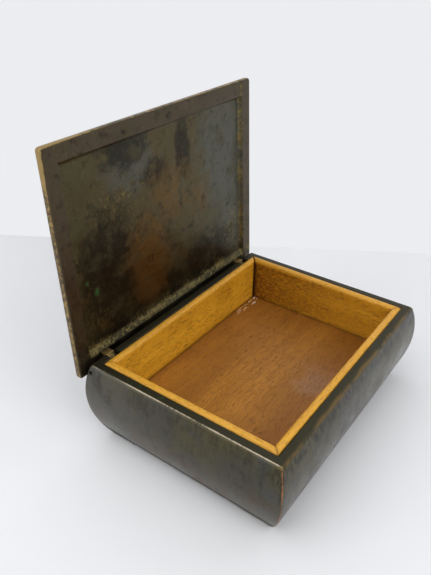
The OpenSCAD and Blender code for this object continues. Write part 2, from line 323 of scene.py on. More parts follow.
def lid_bronze(hue):
    make = Finish("lid_bronze")
    at = make.place()
    wide = make.cloud(at, 34, 4, 0.58, 0.6)
    patches = make.cloud(at, 95, 5, 0.65)
    fine = make.cloud(at, 520, 5, 0.7)
    brushed = make.cloud(make.stretched(at, (1, 1, 0.25)), 620, 3, 0.6)
    skin = make.blend(make.band(wide, 0.42, 0.60), hue.tawny, hue.olive)
    for name, tint, most in (("slate", hue.slate, 0.62), ("dark", hue.soot, 0.80), ("rust", hue.rust, 0.62)):
        drift = make.sum("MULTIPLY", make.sum("SUBTRACT", patches, 0.5), 1.8)
        cloudy = make.sum("ADD", make.attribute(name), drift)
        skin = make.blend(make.band(cloudy, 0.28, 0.74, 0, most), skin, tint)
    skin = make.blend(make.sum("MULTIPLY", make.attribute("border"), 0.85), skin, hue.border)
    skin = make.blend(make.band(patches, 0.47, 0.66, 0, 0.6), skin, hue.olive)
    mottle = make.cloud(at, 210, 4, 0.65)
    skin = make.blend(make.band(mottle, 0.52, 0.72, 0, 0.6), skin, hue.soot)
    stain = make.sum("MULTIPLY", make.attribute("stain"), make.band(fine, 0.40, 0.55))
    skin = make.blend(stain, skin, hue.soot)
    skin = make.blend(make.band(fine, 0.55, 0.78, 0, 0.6), skin, hue.soot)
    skin = make.blend(make.band(brushed, 0.58, 0.80, 0, 0.28), skin, hue.deposit)
    grit = make.sum("MULTIPLY", make.sum("SUBTRACT", fine, 0.55), 2.6)
    crust = make.sum("ADD", make.attribute("crust"), grit)
    skin = make.blend(make.band(crust, 0.25, 0.95, 0, 0.9), skin, hue.deposit)
    green = make.sum("MULTIPLY", make.attribute("green"), make.band(fine, 0.40, 0.54))
    skin = make.blend(green, skin, hue.verdigris)
    grains = make.band(make.cloud(at, 1100, 2, 0.5), 0.66, 0.76, 0, 0.55)
    skin = make.blend(grains, skin, hue.deposit)
    worn = rub(make, make.attribute("wear_and_highlight"), at, 420)
    skin = make.blend(make.sum("MULTIPLY", worn, 0.85), skin, hue.worn)
    rough = make.band(patches, 0.3, 0.7, 0.34, 0.50)
    rough = make.sum("ADD", rough, make.sum("MULTIPLY", make.attribute("crust"), 0.2))
    pits = make.band(make.cells(at, 700), 0.0, 0.32)
    height = make.sum("ADD", fine, make.sum("MULTIPLY", pits, make.attribute("pitted")))
    return make.finish(
        Base_Color=skin, Metallic=0.94, Roughness=rough, Coat_Weight=0.06, Coat_Roughness=0.30,
        Normal=make.relief(height, 0.00012, 0.6))


def lug_bronze(hue):
    make = Finish("lug_bronze")
    at = make.place()
    fine = make.cloud(at, 800, 5, 0.65)
    skin = make.blend(make.band(fine, 0.38, 0.62), hue.olive, hue.deposit)
    worn = rub(make, make.attribute("wear_and_highlight"), at, 900)
    skin = make.blend(worn, skin, hue.worn)
    return make.finish(
        Base_Color=skin, Metallic=0.85, Roughness=make.band(fine, 0.3, 0.7, 0.30, 0.48),
        Normal=make.relief(fine, 0.0001, 0.6))


def sheet_brass(name, tint, shade):
    """Dull tarnished metal for the hidden fittings."""
    make = Finish(name)
    at = make.place()
    clouds = make.cloud(at, 70, 5, 0.6)
    rolled = make.cloud(make.stretched(at, (0.06, 1, 1)), 1500, 2, 0.5)
    skin = make.blend(make.band(clouds, 0.38, 0.66), tint, shade)
    rough = make.band(clouds, 0.3, 0.7, 0.36, 0.55)
    return make.finish(
        Base_Color=skin, Metallic=0.9, Roughness=rough, Normal=make.relief(rolled, 0.00004, 0.5))


def wood(name, main, dark, hue, gloss=0.42, coarse=1.0):
    """Straight grained wood with short flecks, along the first axis of its grain attribute."""
    make = Finish(name)
    at = make.attribute("grain", "Vector")
    bands = make.cloud(make.stretched(at, (5, 60, 60)), 1, 4, 0.55, 0.4)
    threads = make.cloud(make.stretched(at, (55, 900, 900)), 1, 3, 0.6)
    flecks = make.cloud(make.stretched(at, (270 / coarse, 1700 / coarse, 1300 / coarse)), 1, 3, 0.6)
    pores = make.cloud(make.stretched(at, (420, 1500, 1500)), 1, 2, 0.5)
    blotch = make.cloud(at, 38, 3, 0.5)
    skin = make.blend(make.band(bands, 0.34, 0.66), main, dark)
    skin = make.blend(make.band(threads, 0.42, 0.70, 0, 0.75), skin, dark)
    skin = make.blend(make.band(blotch, 0.52, 0.74, 0, 0.3), skin, hue.red)
    # Redder and darker: a random tone on the other slats, and painted shade on the right slat, darkest at its back
    # end by the lid.
    skin = make.blend(make.attribute("redness_and_shade"), skin, hue.red)
    haze = make.sum("MULTIPLY", make.attribute("haze"), make.band(blotch, 0.40, 0.60))
    skin = make.blend(make.sum("MULTIPLY", haze, 0.16), skin, hue.glue)
    skin = make.blend(make.sum("MULTIPLY", make.attribute("rubbed"), 0.8), skin, hue.rubbed)
    skin = make.blend(make.band(pores, 0.46, 0.66, 0, 0.7), skin, dark)
    dots = make.band(flecks, 0.545, 0.65)
    shown = make.sum("SUBTRACT", 0.52, make.sum("MULTIPLY", make.attribute("rubbed"), 0.22))
    skin = make.blend(make.sum("MULTIPLY", dots, shown), skin, hue.fleck)
    # Darker along the foot of the slats, in their inner corners, along the mitres and at the nails, and round the
    # edges of the floor board.
    skin = make.blend(make.attribute("darkening"), skin, hue.fleck)
    height = make.sum("SUBTRACT", make.sum("MULTIPLY", threads, 0.35), dots)
    rough = make.band(threads, 0.3, 0.7, gloss - 0.06, gloss + 0.08)
    return make.finish(
        Base_Color=skin, Roughness=rough, Specular_IOR_Level=0.28, Coat_Weight=0.08, Coat_Roughness=0.3,
        Normal=make.relief(height, 0.00016, 0.6))


def dried_glue(hue):
    make = Finish("dried_glue")
    at = make.place()
    clouds = make.cloud(at, 500, 4, 0.6)
    skin = make.blend(make.band(clouds, 0.42, 0.60), hue.floor, hue.glue)
    return make.finish(
        Base_Color=skin, Roughness=0.3, Coat_Weight=0.4, Normal=make.relief(clouds, 0.0001, 0.6))


# ---------------------------------------------------------------- mesh helpers

def object_from(name, points, faces):
    mesh = bpy.data.meshes.new(name)
    mesh.from_pydata(points, [], faces)
    made = bpy.data.objects.new(name, mesh)
    bpy.context.scene.collection.objects.link(made)
    tidy = bmesh.new()
    tidy.from_mesh(mesh)
    bmesh.ops.recalc_face_normals(tidy, faces=tidy.faces)
    tidy.to_mesh(mesh)
    tidy.free()
    return made


def smooth(made, angle=40.0):
    made.data.shade_smooth()
    made.data.set_sharp_from_angle(angle=math.radians(angle))


def seat(made, body, material, slot, *nodes):
    """Gives a finished piece its material, and puts it on its body in place of its nodes."""
    made.data.materials.clear()
    made.data.materials.append(material)
    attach(made, body)
    if nodes:
        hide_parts(*nodes)
    return made


def cut(made, tools):
    """Cuts the tools out of a mesh, and removes them."""
    for tool in tools:
        step = made.modifiers.new("cut", "BOOLEAN")
        step.object = tool
        step.operation = "DIFFERENCE"
        step.solver = "EXACT"
    evaluated = made.evaluated_get(bpy.context.evaluated_depsgraph_get())
    fresh = bpy.data.meshes.new_from_object(evaluated)
    made.modifiers.clear()
    made.data = fresh
    for tool in tools:
        bpy.data.objects.remove(tool)


def block(name, low, high):
    corners = [(x, y, z) for x in (low[0], high[0]) for y in (low[1], high[1]) for z in (low[2], high[2])]
    sides = [(0, 1, 3, 2), (4, 6, 7, 5), (0, 4, 5, 1), (2, 3, 7, 6), (0, 2, 6, 4), (1, 5, 7, 3)]
    return object_from(name, corners, sides)


def turned(name, stations, axis, around=28):
    """Solid of revolution about an axis through (0, 0, 0): stations are (distance along it, radius)."""
    points = []
    for along, radius in stations:
        for k in range(around):
            angle = 2 * math.pi * k / around
            points.append((radius * math.cos(angle), radius * math.sin(angle), along))
    faces = []
    for row in range(len(stations) - 1):
        for k in range(around):
            after = (k + 1) % around
            a = row * around
            faces.append((a + k, a + after, a + around + after, a + around + k))
    faces.append(tuple(range(around))[::-1])
    faces.append(tuple(range((len(stations) - 1) * around, len(stations) * around)))
    made = object_from(name, points, faces)
    made.data.transform(Vector((0, 0, 1)).rotation_difference(Vector(axis)).to_matrix().to_4x4())
    return made


def paint(made, name, rule):
    """Stores rule(place) of every vertex as a named attribute for the finishes."""
    layer = made.data.attributes.new(name, "FLOAT", "POINT")
    layer.data.foreach_set("value", [max(0.0, min(1.0, rule(v.co))) for v in made.data.vertices])


def wave(place, scale, seed=0.0):
    """Smooth noise between -1 and 1 over a length of about one scale."""
    return noise.noise(Vector((place[0] / scale + seed, place[1] / scale - seed, place[2] / scale + 2 * seed)))


def fade(distance, reach):
    """1 at no distance, falling smoothly to 0 at reach."""
    t = max(0.0, min(1.0, 1 - abs(distance) / reach))
    return t * t * (3 - 2 * t)


def spaced(start, end, count):
    return [start + (end - start) * k / count for k in range(count + 1)]


# ---------------------------------------------------------------- case

class Walls:
    """The swelling walls of the case, as a function of height."""

    def __init__(self, size):
        low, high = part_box("case_body")
        self.size = size
        self.half = (high.x - size.bulge_out, high.y - size.bulge_out)
        self.height = high.z
        out, fall = size.bulge_out, size.bulge_out + size.foot_in
        root = math.sqrt(out * fall * (self.height ** 2 + size.foot_in ** 2))
        self.widest = (self.height * fall - root) / size.foot_in
        self.radius = (self.widest ** 2 + fall ** 2) / (2 * fall)

    def out(self, z):
        """Outset of the wall against the rim at height z."""
        z = max(0.0, z)
        return self.size.bulge_out - self.radius + math.sqrt(self.radius ** 2 - (z - self.widest) ** 2)

    def apron(self, s, half):
        """Height of the lower edge of a wall at distance s from its middle."""
        size = self.size
        inward = half - size.foot_in - size.foot_len - abs(s)
        if inward <= 0:
            return 0.0
        run = min(inward, size.apron_r)
        return size.apron_h - size.apron_r + math.sqrt(size.apron_r ** 2 - (size.apron_r - run) ** 2)


def case_profile(walls):
    """Rings of the case from the bottom of the walls up, over the rim and down inside: (kind, inset, z)."""
    size, top = walls.size, walls.height
    edge = 0.35 * MM
    rings = [("wall", edge, 0.0), ("wall", edge * 0.3, edge * 0.3)]
    rings += [("wall", 0.0, z) for z in spaced(edge, top - size.arris_r, 46)]
    for angle in spaced(0, math.pi / 2, 5)[1:]:
        inset = size.arris_r * (1 - math.cos(angle))
        rings.append(("fixed", inset, top - size.arris_r * (1 - math.sin(angle))))
    rings += [("fixed", inset, top) for inset in spaced(size.arris_r, size.wall - edge, 5)[1:]]
    rings.append(("fixed", size.wall, top - edge))
    rings += [("wall", size.wall, z) for z in spaced(top - edge, size.ledge_top, 10)[1:]]
    rings += [("fixed", inset, size.ledge_top) for inset in spaced(size.wall, size.ledge_reach, 3)[1:]]
    under = size.ledge_top - size.ledge_t
    rings.append(("fixed", size.ledge_reach, under))
    rings.append(("fixed", (size.ledge_reach + size.skirt) / 2, under))
    rings += [("wall", size.skirt, z) for z in spaced(under, edge, 8)]
    rings.append(("wall", size.skirt - edge, 0.0))
    return rings


def wall_places(walls, half):
    """Places along half a wall, from its middle to the end of the stretch that all rings share."""
    size = walls.size
    step = half - size.foot_in - size.foot_len
    middle = spaced(0, step - size.apron_r, 26)
    bend = [step - size.apron_r * (1 - math.sin(a)) for a in spaced(0, math.pi / 2, 7)[1:]]
    return middle + bend + [step + 0.02 * MM, step + MM]


def case_ring(walls, kind, inset, z):
    """Points of one ring round the case, anticlockwise from above."""
    size = walls.size
    apron_fades = 12 * MM
    corner_steps = 4
    ring = []
    for side in range(4):
        along_x = side % 2 == 0
        half_along = walls.half[0 if along_x else 1]
        half_out = walls.half[1 if along_x else 0]
        at_corner = walls.out(z) if kind == "wall" else 0.0
        radius = size.ridge_r if inset < size.skirt / 2 else 0.5 * MM
        end = half_along + at_corner - inset - radius
        shared = wall_places(walls, half_along)
        last = min(shared[-1], end - 2 * MM)
        half_places = [min(s, last) for s in shared] + spaced(last, end, 7)[1:]
        places = [-s for s in reversed(half_places[1:])] + half_places
        points = []
        for s in places:
            height = z
            if kind == "wall" and z < apron_fades:
                height = z + walls.apron(s, half_along) * (1 - z / apron_fades)
            out = (walls.out(height) if kind == "wall" else 0.0) - inset
            points.append((s, half_out + out, height))
        for k in range(1, corner_steps):
            angle = math.pi / 2 * k / corner_steps
            out = half_out + at_corner - inset - radius
            points.append((end + radius * math.sin(angle), out + radius * math.cos(angle), z))
        turn = Matrix.Rotation(math.pi / 2 * side, 3, "Z")
        ring += [turn @ Vector((s, -out, height)) for s, out, height in points]
    return ring


def case_mesh(walls):
    rings = [case_ring(walls, *row) for row in case_profile(walls)]
    count = len(rings[0])
    points = [p for ring in rings for p in ring]
    faces = []
    for row in range(len(rings)):
        after = (row + 1) % len(rings)
        for k in range(count):
            k2 = (k + 1) % count
            faces.append((row * count + k, row * count + k2, after * count + k2, after * count + k))
    return object_from("case_shell", points, faces)


def case_cutters(walls):
    size = walls.size
    cutters = []
    reach = 12 * MM
    for side in ("left", "right"):
        low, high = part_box("lug_" + side)
        depth = PIN.z - (2.4 * MM + size.notch_gap)
        mouth = walls.half[1] - size.wall - MM
        cutters.append(block(
            "notch_" + side, (low.x - size.notch_gap, mouth, depth),
            (high.x + size.notch_gap, mouth + reach, walls.height + reach)))
        low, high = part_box("pin_" + side)
        start, end = (low.x - reach, high.x) if side == "left" else (low.x, high.x + reach)
        hole = turned("pin_hole_" + side, [(start, size.pin_hole_r), (end, size.pin_hole_r)], (1, 0, 0))
        hole.data.transform(Matrix.Translation((0, PIN.y, PIN.z)))
        cutters.append(hole)
    return cutters


class BOX_OT_case(bpy.types.Operator):
    """Casts the bronze case with its swelling walls, bracket feet, rim and ledge"""
    bl_idname = "table_box.case"
    bl_label = "Case"

    def execute(self, context):
        scene = context.scene
        size = scene.box_case
        walls = Walls(size)
        made = case_mesh(walls)
        for vertex in made.data.vertices:
            at = vertex.co
            outside = max(abs(at.x) - walls.half[0], abs(at.y) - walls.half[1]) + 2.5 * MM
            swell = walls.out(at.z) - walls.out(walls.height)
            if outside < swell or at.z > walls.height - MM or at.z < 2 * MM:
                continue
            push = size.wobble * wave(at, 26 * MM, 3) + 0.35 * size.wobble * wave(at, 9 * MM, 7)
            direction = Vector((at.x / walls.half[0], at.y / walls.half[1], 0))
            direction = Vector([d if abs(d) > 0.9 else 0.0 for d in direction])
            vertex.co = at + direction * push * fade(at.z - walls.height / 2, walls.height / 2)
        cut(made, case_cutters(walls))
        top = walls.height

        def rim(at):
            inside = max(abs(at.x) - walls.half[0], abs(at.y) - walls.half[1])
            return 1.0 if at.z > top - 0.2 * MM or inside < -1.2 * MM else fade(at.z - top, 0.7 * MM) * 0.6

        # Rubbed metal along the top of the rim arris, mostly on the end walls; it also serves as a painted highlight
        # on that arris.
        def wear_and_highlight(at):
            edge_x = fade(abs(at.x) - walls.half[0] + 0.35 * MM, 0.7 * MM)
            edge_y = fade(abs(at.y) - walls.half[1] + 0.35 * MM, 0.7 * MM)
            patchy = 0.8 + 0.5 * wave(at, 11 * MM, 6)
            return max(edge_x, 0.3 * edge_y) * fade(at.z - top + 0.35 * MM, 0.8 * MM) * patchy

        def ridge(at):
            out = walls.out(at.z)
            near_x = fade(abs(at.x) - walls.half[0] - out + 0.25 * MM, 0.9 * MM)
            near_y = fade(abs(at.y) - walls.half[1] - out + 0.25 * MM, 0.9 * MM)
            return near_x * near_y * (0.85 + 0.4 * wave(at, 10 * MM, 8)) * (at.z < top - 0.5 * MM)

        paint(made, "rim", rim)
        paint(made, "wear_and_highlight", wear_and_highlight)
        paint(made, "ridge", ridge)
        paint(made, "pale", lambda at: 0.75 * fade(at.y - walls.half[1], 1.1 * walls.half[1]) * (at.x < 0))
        # Painted shade on the foot of the front wall, strongest at the table and gone 26 mm up.
        paint(made, "shade", lambda at: fade(at.z, 26 * MM) * (at.y < -walls.half[1] + walls.out(at.z) + 9 * MM))
        paint(made, "green", lambda at: (at.z > top - 0.3 * MM) * (at.x < 0) * fade(at.y - 28 * MM, 34 * MM)
              * fade(at.x + walls.half[0] - 2.6 * MM, 2.4 * MM) * (0.6 + wave(at, 5 * MM, 4)))
        paint(made, "low", lambda at: fade(at.z - 12 * MM, 22 * MM))
        paint(made, "smear", lambda at: fade(at.z - top + 5 * MM + 2.5 * MM * wave(at, 9 * MM, 5), 7 * MM)
              * (1.0 if at.y < -walls.half[1] + 2 * MM else 0.35))
        paint(made, "crust", lambda at: fade(at.z - top + 0.9 * MM + 0.9 * MM * wave(at, 12 * MM, 9), 1.5 * MM)
              * (1.0 if at.y < -walls.half[1] + 1.6 * MM else 0.0))
        smooth(made, 48)
        seat(made, "case", case_bronze(scene.box_bronze), "case_bronze", "case_body")
        return {"FINISHED"}


# ---------------------------------------------------------------- plates: lid and floor board

def plate(name, xs, ys, corner_r, edge_r, under, over):
    """Plate on a grid of lines, with round corners and edges; under and over give the height of its faces."""
    low, high = (xs[0], ys[0]), (xs[-1], ys[-1])

    def placed(x, y):
        dx = max(low[0] + corner_r - x, x - high[0] + corner_r)
        dy = max(low[1] + corner_r - y, y - high[1] + corner_r)
        if dx <= 0 or dy <= 0:
            return x, y, corner_r - max(dx, dy)
        squeeze = max(dx, dy) / math.hypot(dx, dy)
        x += math.copysign(dx * (1 - squeeze), -x + (low[0] + high[0]) / 2)
        y += math.copysign(dy * (1 - squeeze), -y + (low[1] + high[1]) / 2)
        return x, y, corner_r - max(dx, dy)

    points = []
    for face, inward in ((under, 1), (over, -1)):
        for y in ys:
            for x in xs:
                px, py, edge = placed(x, y)
                round_off = 0.0
                if edge < edge_r:
                    round_off = edge_r - math.sqrt(max(0.0, edge_r ** 2 - (edge_r - edge) ** 2))
                points.append((px, py, face(px, py) + inward * round_off))
    across, size = len(xs), len(xs) * len(ys)
    faces = []
    for j in range(len(ys) - 1):
        for i in range(across - 1):
            a = j * across + i
            faces.append((a, a + across, a + across + 1, a + 1))
            faces.append((size + a, size + a + 1, size + a + across + 1, size + a + across))
    rim = [(i, 0) for i in range(across)] + [(across - 1, j) for j in range(1, len(ys))]
    rim += [(i, len(ys) - 1) for i in range(across - 2, -1, -1)] + [(0, j) for j in range(len(ys) - 2, 0, -1)]
    for (i, j), (i2, j2) in zip(rim, rim[1:] + rim[:1]):
        a, b = j * across + i, j2 * across + i2
        faces.append((a, b, size + b, size + a))
    return object_from(name, points, faces)


def grid_lines(low, high, edge_r, step, dense=()):
    """Lines from low to high, closer together over the rounded edges and where dense places ask for it."""
    near = [edge_r * (1 - math.cos(a)) for a in spaced(0, math.pi / 2, 5)]
    inner = spaced(low + edge_r, high - edge_r, max(2, round((high - low - 2 * edge_r) / step)))
    lines = [low + d for d in near] + inner[1:-1] + [high - d for d in reversed(near)]
    for place, reach in dense:
        lines += [place + k * reach / 3 for k in range(-3, 4)]
    lines.sort()
    kept = [lines[0]]
    for line in lines[1:]:
        if line - kept[-1] > 0.04 * MM:
            kept.append(line)
    kept[-1] = high
    return kept


class BOX_OT_lid(bpy.types.Operator):
    """Casts the flat lid with its sunk panel, rough hinge bevel and worn edges"""
    bl_idname = "table_box.lid"
    bl_label = "Lid"

    def execute(self, context):
        scene = context.scene
        size = scene.box_lid
        walls = Walls(scene.box_case)
        low, high = closed_box("lid_plate")
        mouth = [half - scene.box_case.wall for half in walls.half]
        panel_x = mouth[0] + size.panel_margin
        front = -mouth[1] - size.panel_margin
        back = mouth[1] + size.lug_wood_gap
        dice = random.Random(11)
        pits = []
        for _ in range(150):
            x = -panel_x + dice.triangular(-4 * MM, 26 * MM, 1 * MM)
            y = dice.uniform(front - 3 * MM, back - 8 * MM)
            pits.append((x, y, dice.uniform(0.5, 1.2) * MM, dice.uniform(0.10, 0.30) * MM))

        def sunk(x, y):
            """1 in the panel, 0 on the border."""
            side = min(panel_x - abs(x), y - front)
            t = max(0.0, min(1.0, side / size.panel_soft))
            return t * t * (3 - 2 * t) * max(0.0, min(1.0, (back - y) / size.bevel_d))

        def under(x, y):
            at = Vector((x, y, 0))
            depth = sunk(x, y)
            skin = size.grain * depth * (0.9 * wave(at, 7 * MM, 2) + 0.5 * wave(at, 2.6 * MM, 4))
            skin += 0.03 * MM * wave(at, 5 * MM, 6)
            on_bevel = fade(y - back + size.bevel_d / 2, 0.75 * size.bevel_d) * (1 if abs(x) < panel_x else 0)
            skin += on_bevel * (0.20 * MM * wave(at, 1.9 * MM, 8) + 0.18 * MM * wave(at, 4.1 * MM, 9))
            for px, py, reach, deep in pits:
                if abs(x - px) < reach and abs(y - py) < reach:
                    skin += deep * fade(math.hypot(x - px, y - py), reach)
            return low.z + size.panel_drop * depth + skin * (1 if depth > 0 or x < 0 else 0.4)

        def over(x, y):
            at = Vector((x, y, 0))
            return high.z - 0.05 * MM + 0.05 * MM * wave(at, 24 * MM, 1)

        xs = grid_lines(low.x, high.x, size.edge_r, size.step, [(-panel_x, 1.2 * MM), (panel_x, 1.2 * MM)])
        ys = grid_lines(low.y, high.y, size.edge_r, size.step, [(front, 1.2 * MM), (back, 1.0 * MM)])
        made = plate("lid_casting", xs, ys, size.corner_r, size.edge_r, under, over)

        def inside(at):
            return at.z < high.z - 0.7 * MM

        span = (high.x - low.x, high.y - low.y)

        def across(at):
            """Place on the lid from its left end and its free edge, each from 0 to 1."""
            return (at.x - low.x) / span[0], (at.y - low.y) / span[1]

        def cloud(at, u, v, wide, tall):
            x, y = across(at)
            return max(0.0, 1 - math.hypot((x - u) / wide, (y - v) / tall))

        def rust(at):
            centre = max(0.60 * cloud(at, 0.52, 0.40, 0.28, 0.38), 0.50 * cloud(at, 0.68, 0.48, 0.18, 0.34))
            return 1.15 * max(cloud(at, 0.39, 0.64, 0.17, 0.42), centre)

        def slate(at):
            return 1.3 * max(cloud(at, 0.84, 0.30, 0.26, 0.48), 0.8 * cloud(at, 0.34, 0.20, 0.22, 0.22),
                              cloud(at, 0.93, 0.62, 0.22, 0.38))

        def dark(at):
            return 1.3 * max(cloud(at, 0.20, 0.62, 0.22, 0.50), cloud(at, 0.60, 0.22, 0.07, 0.24),
                             0.9 * cloud(at, 0.32, 0.12, 0.18, 0.14), cloud(at, 0.50, 0.84, 0.11, 0.12), cloud(at, 0.72, 0.82, 0.26, 0.22),
                             0.8 * cloud(at, 0.22, 0.92, 0.3, 0.2), 0.8 * cloud(at, 0.45, 0.26, 0.12, 0.12))

        def border(at):
            outer = max(abs(at.x) - panel_x, front - at.y)
            return 1.0 if outer > 0 else fade(outer, 0.5 * MM)

        def blotches(at):
            """Two dark stains on the free border."""
            first = fade(math.hypot((at.x - low.x - 0.52 * span[0]) / 1.2, at.y - front + 4 * MM), 3.4 * MM)
            second = fade(math.hypot((at.x - low.x - 0.31 * span[0]) / 1.5, at.y - front + 3.6 * MM), 2.6 * MM)
            return max(first, 0.8 * second)

        def crust(at):
            x, y = across(at)
            bevel = fade(at.y - back + size.bevel_d * 0.45, size.bevel_d * 0.9) * (abs(at.x) < panel_x)
            creep = fade(at.y - back + size.bevel_d, 8 * MM) * (0.60 + 0.6 * wave(at, 12 * MM, 3))
            side = 0.9 * fade(at.x - panel_x + 1.5 * MM, 3 * MM) + 0.5 * fade(at.x + panel_x - 2 * MM, 6 * MM)
            side = max(side, 0.55 * fade(at.y - front - 1.2 * MM, 2.2 * MM))
            yellow = 0.6 * max(cloud(at, 0.90, 0.74, 0.16, 0.26), 0.8 * cloud(at, 0.28, 0.30, 0.30, 0.20),
                               0.8 * cloud(at, 0.12, 0.80, 0.16, 0.2))
            patchy = 0.75 + 0.6 * wave(at, 6 * MM, 5)
            return max(bevel * (0.62 + 0.5 * wave(at, 4 * MM, 2)), creep, side * patchy, yellow) * inside(at)

        def wear_and_highlight(at):
            edge = min(at.x - low.x, high.x - at.x, at.y - low.y, high.y - at.y)
            corner = fade(math.hypot(at.x - low.x, at.y - low.y), 34 * MM)
            side = fade(edge - 0.1 * MM, 0.55 * MM + 0.5 * MM * corner) * (1.0 if inside(at) else 0.55)
            side = max(side, corner ** 3 * fade(edge, 1.6 * MM))
            return min(1.0, side * (0.64 + 0.36 * corner + 0.14 * wave(at, 16 * MM, 7)))

        paint(made, "rust", lambda at: rust(at) * inside(at) + 0.2 * (not inside(at)))
        paint(made, "slate", lambda at: slate(at) * inside(at) + 0.15 * (not inside(at)))
        paint(made, "dark", lambda at: dark(at) * inside(at))
        paint(made, "stain", lambda at: blotches(at) * inside(at))
        paint(made, "border", border)
        paint(made, "crust", crust)
        paint(made, "green", lambda at: inside(at) * max(
            fade(math.hypot(at.x - low.x - 0.135 * span[0], at.y - low.y - 0.66 * span[1]), 3.4 * MM),
            0.7 * fade(math.hypot(at.x - low.x - 0.10 * span[0], at.y - low.y - 0.60 * span[1]), 2.4 * MM)))
        paint(made, "wear_and_highlight", wear_and_highlight)
        paint(made, "pitted", lambda at: inside(at) * (0.25 + 0.75 * fade(at.x + panel_x, 22 * MM)))
        made.data.transform(TURN_OPEN)
        smooth(made, 55)
        seat(made, "lid", lid_bronze(scene.box_bronze), "lid_bronze", "lid_plate")
        return {"FINISHED"}


class BOX_OT_lugs(bpy.types.Operator):
    """Files up the two hinge lugs under the lid"""
    bl_idname = "table_box.lugs"
    bl_label = "Hinge lugs"

    def execute(self, context):
        scene = context.scene
        material = lug_bronze(scene.box_bronze)
        for side in ("left", "right"):
            low, high = closed_box("lug_" + side)
            radius = PIN.z - low.z
            foot = closed_box("lid_plate")[0].z
            outline = [(low.y, foot), (low.y, PIN.z)]
            first, last = math.pi, 2 * math.pi + math.acos((high.y - PIN.y) / radius)
            outline += [(PIN.y + radius * math.cos(a), PIN.z + radius * math.sin(a))
                        for a in spaced(first, last, 16)]
            outline.append((high.y, foot))
            count = len(outline)
            points = [(x, y, z) for x in (low.x, high.x) for y, z in outline]
            faces = [tuple(range(count)), tuple(range(count, 2 * count))]
            faces += [(k, (k + 1) % count, count + (k + 1) % count, count + k) for k in range(count)]
            made = object_from("hinge_lug_" + side, points, faces)
            ease = made.modifiers.new("filed edges", "BEVEL")
            ease.width = 0.35 * MM
            ease.segments = 3
            ease.limit_method = "ANGLE"
            ease.angle_limit = math.radians(35)
            bore = turned("bore_" + side, [(low.x - MM, 1.06 * MM), (high.x + MM, 1.06 * MM)], (1, 0, 0))
            bore.data.transform(Matrix.Translation((0, PIN.y, PIN.z)))
            cut(made, [bore])

            def wear_and_highlight(at):
                near = [abs(at.x - low.x), abs(at.x - high.x), abs(at.y - low.y), abs(at.z - PIN.z)]
                near.sort()
                return fade(near[1], 0.8 * MM) * 0.9 + 0.35 * fade(at.z - PIN.z, 1.6 * MM)

            paint(made, "wear_and_highlight", wear_and_highlight)
            made.data.transform(TURN_OPEN)
            smooth(made, 35)
            seat(made, "lid", material, "lug_bronze", "lug_" + side)
        return {"FINISHED"}


# ---------------------------------------------------------------- lining

def slat_profile(thick, foot, top, round_r):
    """Upright section from the foot of the outer face over the rounded top to the foot of the inner face."""
    rows = [(0.0, z) for z in spaced(foot, top - round_r, 4)]
    rows += [(round_r * (1 - math.cos(a)), top - round_r * (1 - math.sin(a))) for a in spaced(0, math.pi / 2, 6)[1:]]
    rows += [(thick - round_r * (1 - math.sin(a)), top - round_r * (1 - math.cos(a)))
             for a in spaced(0, math.pi / 2, 6)]
    rows += [(thick, z) for z in spaced(top - round_r, foot, 34)[1:]]
    return rows


def slat(name, half_len, out, turn, top, size, lift, ends, seed):
    """Mitred slat along X with its outer face at y = out, turned into place about Z; ends cut it shorter."""
    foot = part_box("base_plate")[1].z
    rows = slat_profile(size.slat_t, foot, top, size.slat_round)
    stations = 110
    points, grain, rubbed = [], [], []
    for k in range(stations + 1):
        share_along = k / stations
        for inset, z in rows:
            start = -half_len + inset + ends[0]
            end = half_len - inset - ends[1]
            x = start + (end - start) * share_along
            rise = lift * (x + half_len) / (2 * half_len) * (z - foot) / (top - foot)
            at = Vector((x, inset, z))
            soft = 0.10 * MM * wave(at, 17 * MM, seed) if inset > 0 and z > foot + MM else 0.0
            nick = 0.10 * MM * wave(at, 3.5 * MM, seed + 5) if z > top - size.slat_round else 0.0
            points.append((x, out - inset - soft, z + rise - max(0.0, nick)))
            grain.append((x + 0.31 * seed, inset + 0.17 * seed, z))
            on_top = fade(z - top, 1.6 * size.slat_round) * (1.0 if inset > 0.2 * MM else 0.3)
            rubbed.append(min(1.0, on_top * (0.85 + 0.4 * wave(at, 9 * MM, seed + 2))))
    width = len(rows)
    faces = []
    for k in range(stations):
        for j in range(width):
            j2 = (j + 1) % width
            faces.append((k * width + j, k * width + j2, (k + 1) * width + j2, (k + 1) * width + j))
    faces.append(tuple(range(width)))
    faces.append(tuple(range(stations * width, (stations + 1) * width)))
    made = object_from(name, points, faces)
    made.data.attributes.new("grain", "FLOAT_VECTOR", "POINT")
    made.data.attributes["grain"].data.foreach_set("vector", [c for g in grain for c in g])
    made.data.attributes.new("rubbed", "FLOAT", "POINT")
    made.data.attributes["rubbed"].data.foreach_set("value", rubbed)
    made.data.transform(Matrix.Rotation(turn, 4, "Z"))
    return made


